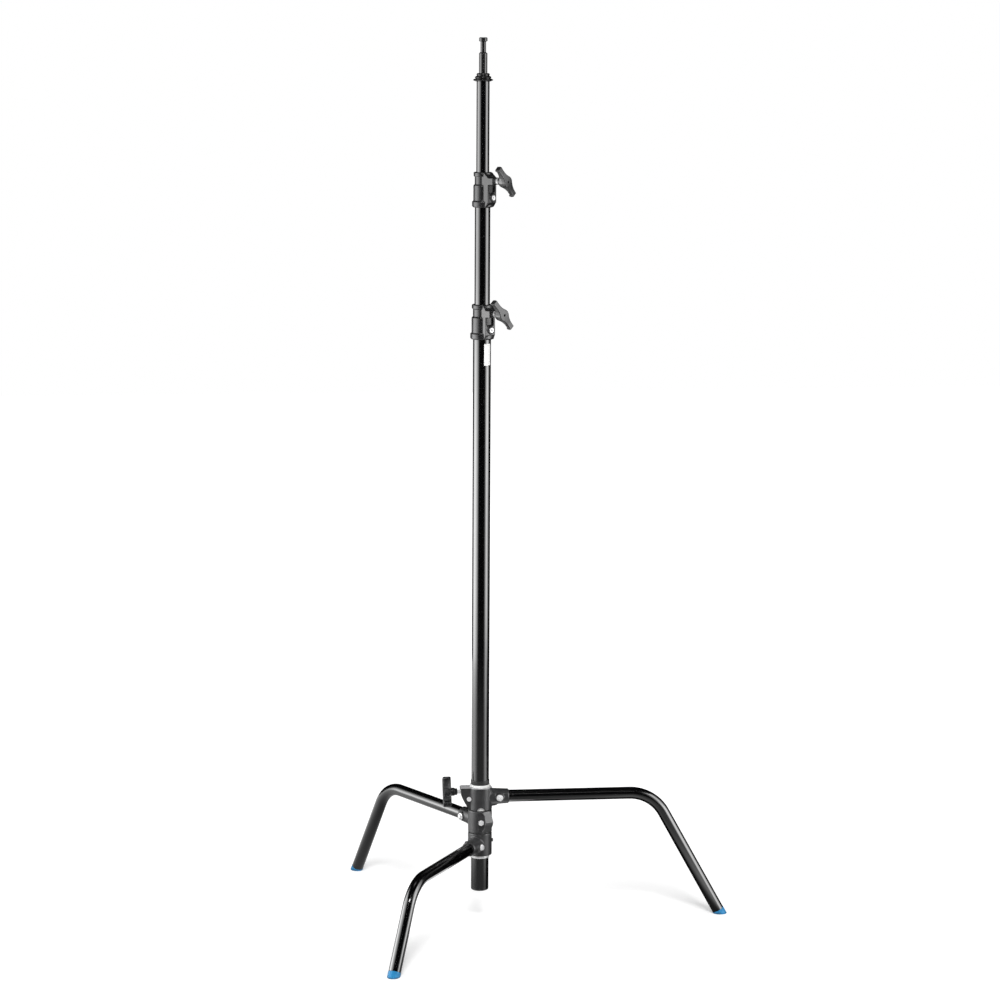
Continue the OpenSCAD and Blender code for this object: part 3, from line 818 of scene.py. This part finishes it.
def smooth(obj, angle):
    """Settles a piece at the origin and smooths its faces up to an angle in degrees."""
    activate(obj)
    bpy.ops.object.transform_apply(location=True, rotation=True, scale=True)
    bpy.ops.object.shade_smooth_by_angle(angle=math.radians(angle))


def fit(obj, node, angle):
    """Puts a piece in the place of a node, with its finish and on its body."""
    smooth(obj, angle)
    dress(obj, SLOT_OF[node])
    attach(obj, frame["nodes"][node]["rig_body"])
    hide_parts(node)


def joint_row(name):
    return next(row for row in frame["joints"] if row["name"] == name)


def reach(node, matrix):
    """Lowest and highest corner of a node in the local frame of a matrix."""
    back = matrix.inverted()
    points = [back @ v.co for v in frame["nodes"][node].data.vertices]
    return [Vector([end(p[i] for p in points) for i in range(3)]) for end in (min, max)]


def centre_of(node):
    low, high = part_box(node)
    return (low + high) / 2


# Cast pieces


def soft_cast(obj, voxel, passes, bore=0.0):
    """Remeshes a merged solid and smooths it, so that its edges become cast fillets.
    Points nearer to the mast axis than bore keep their place."""
    apply(obj, "REMESH", mode="VOXEL", voxel_size=voxel, use_smooth_shade=True)
    group = obj.vertex_groups.new(name="rounded")
    outside = [v.index for v in obj.data.vertices if v.co.xy.length > bore]
    group.add(outside, 1.0, "REPLACE")
    apply(obj, "SMOOTH", factor=0.5, iterations=passes, vertex_group="rounded")
    obj.vertex_groups.clear()


def merge(obj, gap):
    """Opens a piece in edit mode and merges the points that lie closer than a gap."""
    activate(obj)
    bpy.ops.object.mode_set(mode="EDIT")
    bpy.ops.mesh.select_all(action="SELECT")
    bpy.ops.mesh.remove_doubles(threshold=gap)


def merged_copy(node, name):
    """A closed copy of a node, whose own mesh is loose triangles."""
    made = copy_of(frame["nodes"][node], name, Matrix.Identity(4))
    merge(made, 0.005 * MM)
    bpy.ops.object.mode_set(mode="OBJECT")
    return made


class CSTAND_OT_castings(bpy.types.Operator):
    """Makes the leg castings and clamp collars, with the fillets of a die casting"""

    bl_idname = "cstand.castings"
    bl_label = "Castings and collars"

    # the clamp shoe that runs in a bore of the piece, and the joint of the screw behind it
    shoes = {
        "top_casting": ("knob_shoe", "knob_turn"),
        "lower_collar": ("lower_shoe", "lower_handle_turn"),
        "upper_collar": ("upper_shoe", "upper_handle_turn"),
    }
    # millimetres: the bore's play around, behind and ahead of the shoe, and the wall of the
    # mast's bore that keeps its place
    shoe_fit, shoe_back, shoe_room = 0.15, 0.3, 1.6
    bore_wall = 0.9

    def shoe_bore(self, shoe, screw):
        """A cutter for the bore that a clamp shoe slides in."""
        origin = Vector(joint_row(screw)["pos_m"])
        axis = Vector(joint_row(shoe + "_slide")["axis"])
        turn = axis.to_track_quat("Z", "Y")
        low, high = reach(shoe, Matrix.Translation(origin) @ turn.to_matrix().to_4x4())
        low.z, high.z = low.z - self.shoe_back * MM, high.z + self.shoe_room * MM
        cutter = start(
            shoe + "_bore",
            bpy.ops.mesh.primitive_cylinder_add,
            vertices=64,
            radius=(high.x - low.x) / 2 + self.shoe_fit * MM,
            depth=high.z - low.z,
            location=origin + axis * (low.z + high.z) / 2,
            rotation=turn.to_euler(),
        )
        close()
        return cutter

    def execute(self, context):
        sizes = context.scene.cstand_sizes
        carriers = {
            "lower_casting": "column_tube",
            "middle_casting": "column_tube",
            "top_casting": "column_tube",
            "lower_collar": "column_tube",
            "upper_collar": "riser_1_tube",
        }
        for node, tube in carriers.items():
            piece = merged_copy(node, node + "_cast")
            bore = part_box(tube)[1].x + self.bore_wall * MM
            soft_cast(piece, sizes.cast_grain, sizes.cast_passes, bore)
            if node in self.shoes:
                carve(piece, self.shoe_bore(*self.shoes[node]))
            fit(piece, node, angle=60)
        return {"FINISHED"}


class CSTAND_OT_handles(bpy.types.Operator):
    """Models one cast T handle and puts a copy on each clamp screw"""

    bl_idname = "cstand.handles"
    bl_label = "T handles"

    # along the arm, in shares of it: half width, how far the outer face lies back, and how far
    # the inner face lies over the arm's root, in millimetres
    stations = (
        (0.00, 10.8, 0.0, -4.5),
        (0.13, 10.2, 0.1, -3.4),
        (0.23, 8.4, 0.4, -2.0),
        (0.40, 6.1, 1.0, -0.2),
        (0.60, 5.2, 1.9, 1.6),
        (0.84, 5.1, 2.4, 2.4),
        (0.91, 5.5, 2.5, 0.1),
        (1.00, 5.2, 2.6, 0.1),
    )
    arm_depth, arm_middle, swell_back, swell, web = 12.3, 3.0, 7.0, 1.1, 3.0
    face_rim, face_rise, face_hole, hole_depth = 0.9, 0.55, 2.3, 3.4
    # along the hub, in shares of it: its radius
    hub = (
        (0.0, 6.2), (0.027, 6.7), (0.22, 7.1), (0.42, 8.6), (0.58, 10.3), (0.71, 10.5), (0.95, 9.6),
    )
    hub_start = 0.2
    grain, passes = 0.5, 1

    def arms(self, high):
        front, back, length = high.x, high.x - self.arm_depth * MM, high.z
        wide = self.stations[0][1] * MM
        obj = block("t_handle", back, front, 2 * wide, 2 * length)
        levels = [
            (side * share * length, row)
            for share, *row in self.stations
            for side in ((-1, 1) if share else (1,))
        ]
        for level, _ in levels:
            if abs(level) < length:
                cut((0, 0, level), (0, 0, 1))
        inside = back + self.arm_middle * MM
        for level, (half, outer, inner) in levels:
            for side in (-1, 1):
                shift(
                    obj,
                    lambda v: near(v.co.z, level) and v.co.y * side > 0,
                    (0, side * (half * MM - wide), 0),
                )
            shift(obj, lambda v: near(v.co.z, level) and v.co.x > inside, (-outer * MM, 0, 0))
            shift(obj, lambda v: near(v.co.z, level) and v.co.x < inside, (inner * MM, 0, 0))
        split = front - self.swell_back * MM
        cut((split, 0, 0), (1, 0, 0))
        pick(obj, "VERT", lambda v: near(v.co.x, split) and abs(v.co.y) > self.web * MM)
        bpy.ops.transform.resize(value=(1, self.swell, 1), center_override=(split, 0, 0))
        pick(obj, "FACE", looks_along_x)
        bpy.ops.mesh.inset(thickness=self.face_rim * MM, depth=self.face_rise * MM)
        bpy.ops.object.mode_set(mode="OBJECT")
        return obj

    def turned_hub(self, low, high):
        radius = self.hub[0][1]
        end = low.x + self.hub_start * MM
        obj = stock("t_handle_hub", "X", 40, radius * MM, low.x, end)
        for share, wide in self.hub[1:]:
            pick(obj, "FACE", lambda f: looks_along_x(f) and faces_at(0, end)(f))
            run = low.x + share * (high.x - low.x) - end
            push((run, 0, 0))
            end += run
            widen(wide / radius, end)
            radius = wide
        close()
        return obj

    def face_bore(self, front):
        depth = self.hole_depth * MM
        obj = stock("t_handle_bore", "X", 32, self.face_hole * MM, front - depth, front + depth)
        close()
        return obj

    def execute(self, context):
        sizes = context.scene.cstand_sizes
        made = None
        for side in ("lower", "upper"):
            node = side + "_handle"
            row = joint_row(node + "_turn")
            axis = Vector(row["axis"])
            place = (
                Matrix.Translation(row["pos_m"])
                @ Matrix.Rotation(math.atan2(axis.y, axis.x), 4, "Z")
                @ Matrix.Rotation(sizes.handle_turn, 4, "X")
            )
            if made is None:
                low, high = reach(node, place)
                made = join(self.arms(high), self.turned_hub(low, high))
                soft_cast(made, self.grain * MM, self.passes)
                carve(made, self.face_bore(high.x))
                apply(made, "SMOOTH", factor=0.5, iterations=1)
            fit(copy_of(made, node + "_cast", place), node, angle=50)
        scrap(made)
        return {"FINISHED"}


# Moulded pieces


class CSTAND_OT_knob(bpy.types.Operator):
    """Models the moulded T knob of the sliding leg"""

    bl_idname = "cstand.knob"
    bl_label = "T knob"

    # millimetres; panels are the levels of the bar where its side panels start and end
    panels = ((3.6, 25.6), (-14.6, -3.6), (-25.6, -18.2))
    panel_edge, panel_draft, panel_depth = 1.3, 1.0, 1.5
    bar_width, bar_end, bar_edge = 15.0, 3.2, 0.7
    hub_length, hub_radius, hub_run, hub_edge = 12.2, 8.0, 7.6, 0.6
    neck_radius, neck_length, shoulder = 6.6, 5.0, 0.6

    def execute(self, context):
        sizes = context.scene.cstand_sizes
        row = joint_row("knob_turn")
        place = (
            Matrix.Translation(row["pos_m"])
            @ Matrix.Rotation(math.pi, 4, "Z")
            @ Matrix.Rotation(sizes.knob_turn, 4, "X")
        )
        low, high = reach("leg_knob", place)
        half = (high.z - low.z) / 2
        back = low.x + self.hub_length * MM
        bar = block("leg_knob_moulded", back, high.x, self.bar_width * MM, 2 * half)
        for panel in self.panels:
            for level in panel:
                cut((0, 0, level * MM), (0, 0, 1))

        def on_panel(face):
            level = face.calc_center_median().z / MM
            return abs(face.normal.y) > 0.9 and any(a < level < b for a, b in self.panels)

        pick(bar, "FACE", on_panel)
        bpy.ops.mesh.inset(thickness=self.panel_edge * MM, use_individual=True)
        bpy.ops.mesh.inset(
            thickness=self.panel_draft * MM, depth=-self.panel_depth * MM, use_individual=True
        )
        pick(bar, "EDGE", lambda e: flat(e, 2) and near(abs(e.verts[0].co.z), half))
        bpy.ops.mesh.bevel(offset=self.bar_end * MM, segments=4, affect="EDGES")
        close()
        round_edges(bar, self.bar_edge * MM)
        neck_end = low.x + self.neck_length * MM
        hub = stock("leg_knob_hub", "X", 40, self.neck_radius * MM, low.x, neck_end)
        pick(hub, "FACE", looks_along_x)
        push((self.shoulder * MM, 0, 0))
        widen(self.hub_radius / self.neck_radius, low.x)
        push((self.hub_run * MM, 0, 0))
        close()
        round_edges(hub, self.hub_edge * MM)
        knob = join(bar, hub)
        knob.data.transform(place)
        fit(knob, "leg_knob", angle=40)
        return {"FINISHED"}


class CSTAND_OT_knob_thread(bpy.types.Operator):
    """Models the threaded stud of the T knob"""

    bl_idname = "cstand.knob_thread"
    bl_label = "Knob stud"

    # shares of the pitch: depth, width at the root and, as a share of that, at the crest
    depth, root, crest = 0.6, 0.86, 0.16
    # millimetres: how far the ridge sinks into the core, and the chamfer of the stud's ends
    sunk, chamfer = 0.15, 0.6
    steps = 28

    def execute(self, context):
        pitch = context.scene.cstand_sizes.thread_pitch
        low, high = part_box("knob_screw")
        radius = (high.z - low.z) / 2
        length = high.x - low.x
        depth = self.depth * pitch
        core = stock("knob_stud", "Z", 32, radius - depth, 0, length)
        pick(core, "EDGE", lambda e: flat(e, 2))
        bpy.ops.mesh.bevel(offset=self.chamfer * MM, segments=1, affect="EDGES")
        close()
        flank = radius - depth / 2
        ridge = start(
            "knob_stud_ridge",
            bpy.ops.mesh.primitive_plane_add,
            size=depth,
            location=(flank, 0, pitch),
            rotation=(QUARTER, 0, 0),
        )
        middle = {"center_override": (flank, 0, pitch)}
        bpy.ops.mesh.select_all(action="SELECT")
        bpy.ops.transform.resize(value=(1, 1, self.root * pitch / depth), **middle)
        pick(ridge, "VERT", lambda v: v.co.x > flank)
        bpy.ops.transform.resize(value=(1, 1, self.crest), **middle)
        shift(ridge, lambda v: v.co.x < flank, (-self.sunk * MM, 0, 0))
        bpy.ops.object.mode_set(mode="OBJECT")
        apply(
            ridge,
            "SCREW",
            axis="Z",
            angle=2 * math.pi,
            screw_offset=pitch,
            iterations=int(length / pitch) - 2,
            steps=self.steps,
            render_steps=self.steps,
            use_merge_vertices=False,
        )
        merge(ridge, 0.001 * MM)
        bpy.ops.mesh.fill_holes(sides=4)
        close()
        stud = join(core, ridge)
        centre = centre_of("knob_screw")
        stud.data.transform(
            Matrix.Translation((high.x, centre.y, centre.z)) @ Matrix.Rotation(-QUARTER, 4, "Y")
        )
        fit(stud, "knob_screw", angle=30)
        return {"FINISHED"}


# Fasteners, feet and label


class CSTAND_OT_fasteners(bpy.types.Operator):
    """Models one hexagon bolt with its washer and one nut, and copies them to the legs"""

    bl_idname = "cstand.fasteners"
    bl_label = "Bolts and nuts"

    # millimetres; bolt_seat is the face of the sliding leg's socket, across the leg
    bolt_seat, shank_radius, washer_radius, washer_depth = -16.5, 3.0, 6.7, 1.1
    washer_edge, shank_edge, index_edge = 0.25, 0.6, 0.5
    head_edge, head_rim, crown_rim, crown_rise = 0.55, 0.5, 0.7, 0.25
    index_head = 4.4

    def hexagon(self, name, radius, low, high, crown):
        """A bolt head or nut between two levels, with a raised crown on one of them."""
        obj = stock(name, "Y", 6, radius, low, high)
        on_crown = faces_at(1, crown)
        pick(obj, "FACE", on_crown)
        bpy.ops.mesh.bevel(offset=self.head_edge * MM, segments=2, affect="EDGES")
        pick(obj, "FACE", lambda f: on_crown(f) and len(f.verts) == 6)
        bpy.ops.mesh.inset(thickness=self.head_rim * MM)
        bpy.ops.mesh.inset(thickness=self.crown_rim * MM, depth=self.crown_rise * MM)
        close()
        return obj

    def turned(self, name, radius, low, high, edge):
        """A washer or shank with bevelled ends; radius and edge are in millimetres."""
        obj = stock(name, "Y", 36, radius * MM, low, high)
        pick(obj, "EDGE", lambda e: flat(e, 1))
        bpy.ops.mesh.bevel(offset=edge * MM, segments=2, affect="EDGES")
        close()
        return obj

    def execute(self, context):
        low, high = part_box("top_leg_bolt")
        nut_low, nut_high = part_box("top_leg_nut")
        across = centre_of("top_leg_bolt").y
        radius = (high.z - low.z) / 2
        seat = self.bolt_seat * MM
        under = seat - self.washer_depth * MM
        bolt = join(
            self.hexagon("leg_bolt", radius, low.y, under, crown=low.y),
            self.turned("leg_bolt_washer", self.washer_radius, under, seat, self.washer_edge),
            self.turned("leg_bolt_shank", self.shank_radius, seat, high.y, self.shank_edge),
        )
        nut = self.hexagon("leg_nut", radius, nut_low.y, nut_high.y, crown=nut_high.y)
        for side in ("top", "middle", "lower"):
            centre = centre_of(side + "_leg_bolt")
            turn = Matrix.Identity(4)
            if side != "top":
                foot = centre_of(side + "_foot")
                turn = Matrix.Rotation(math.atan2(foot.y, foot.x), 4, "Z")
                turn = turn @ Matrix.Rotation(math.pi, 4, "X")
            shank = turn @ Vector((0, across, 0))
            place = Matrix.Translation((centre.x - shank.x, centre.y - shank.y, centre.z)) @ turn
            for model, node in ((bolt, side + "_leg_bolt"), (nut, side + "_leg_nut")):
                fit(copy_of(model, node + "_hex", place), node, angle=30)
        scrap(bolt)
        scrap(nut)
        low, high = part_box("index_bolt")
        under = low.y + self.index_head * MM
        index = join(
            self.hexagon("index_bolt_hex", (high.z - low.z) / 2, low.y, under, crown=low.y),
            self.turned("index_bolt_shank", self.shank_radius, under, high.y, self.index_edge),
        )
        index.data.transform(Matrix.Translation((0, 0, centre_of("index_bolt").z)))
        fit(index, "index_bolt", angle=30)
        return {"FINISHED"}


class CSTAND_OT_feet(bpy.types.Operator):
    """Rounds the tread and rim of the rubber feet"""

    bl_idname = "cstand.feet"
    bl_label = "Rubber feet"

    grain, passes = 0.6, 6

    def execute(self, context):
        for node in ("lower_foot", "middle_foot", "top_foot"):
            piece = merged_copy(node, node + "_rubber")
            soft_cast(piece, self.grain * MM, self.passes)
            low = min(v.co.z for v in piece.data.vertices)
            piece.data.transform(Matrix.Translation((0, 0, -low)))
            fit(piece, node, angle=60)
        return {"FINISHED"}


class CSTAND_OT_label(bpy.types.Operator):
    """Wraps a blank label around the column under the lower collar"""

    bl_idname = "cstand.label"
    bl_label = "Blank label"

    # millimetres: gap under the film, its thickness and the radius of its corners
    gap, film, corner = 0.004, 0.022, 1.5

    def execute(self, context):
        sizes = context.scene.cstand_sizes
        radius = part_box("column_tube")[1].x + self.gap * MM
        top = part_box("lower_collar")[0].z - sizes.label_gap
        half = sizes.label_width / 2 / radius
        low = top - sizes.label_height
        label = stock("blank_label", "Z", 180, radius, low, top, end_fill_type="NOTHING")

        def off(face):
            here = face.calc_center_median()
            turn = math.atan2(here.y, here.x) - sizes.label_azimuth
            return abs(math.atan2(math.sin(turn), math.cos(turn))) > half

        pick(label, "FACE", off)
        bpy.ops.mesh.delete(type="FACE")
        pick(label, "EDGE", lambda e: not flat(e, 2))
        bpy.ops.mesh.subdivide(number_cuts=8)
        mesh = bmesh.from_edit_mesh(label.data)
        corners = [v for v in mesh.verts if len(v.link_edges) == 2]
        if len(corners) != 4:
            raise RuntimeError("the label has no four corners")
        pick(label, "VERT", lambda v: v in corners)
        bpy.ops.mesh.bevel(offset=self.corner * MM, segments=4, affect="VERTICES")
        bpy.ops.object.mode_set(mode="OBJECT")
        apply(label, "SOLIDIFY", thickness=self.film * MM, offset=1.0)
        smooth(label, angle=40)
        dress(label, "label")
        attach(label, "column")
        return {"FINISHED"}


GROUPS = (CStandColours, CStandSizes)
OPERATORS = (
    CSTAND_OT_stage,
    CSTAND_OT_finishes,
    CSTAND_OT_castings,
    CSTAND_OT_handles,
    CSTAND_OT_knob,
    CSTAND_OT_knob_thread,
    CSTAND_OT_fasteners,
    CSTAND_OT_feet,
    CSTAND_OT_label,
)


class CSTAND_PT_parts(bpy.types.Panel):
    """Lists the steps that dress the stand"""

    bl_idname = "CSTAND_PT_parts"
    bl_label = "C stand"
    bl_space_type = "VIEW_3D"
    bl_region_type = "UI"
    bl_category = "C stand"

    def draw(self, context):
        for operator in OPERATORS:
            self.layout.operator(operator.bl_idname)
        for group in (context.scene.cstand_sizes, context.scene.cstand_colours):
            for name in type(group).__annotations__:
                self.layout.prop(group, name)


CLASSES = (*GROUPS, *OPERATORS, CSTAND_PT_parts)


def register():
    for cls in CLASSES:
        bpy.utils.register_class(cls)
    bpy.types.Scene.cstand_colours = PointerProperty(type=CStandColours)
    bpy.types.Scene.cstand_sizes = PointerProperty(type=CStandSizes)


def unregister():
    del bpy.types.Scene.cstand_colours
    del bpy.types.Scene.cstand_sizes
    for cls in reversed(CLASSES):
        bpy.utils.unregister_class(cls)


def main():
    register()
    for operator in OPERATORS:
        deselect()
        getattr(bpy.ops.cstand, operator.bl_idname.split(".")[1])()


if __name__ == "__main__":
    main()
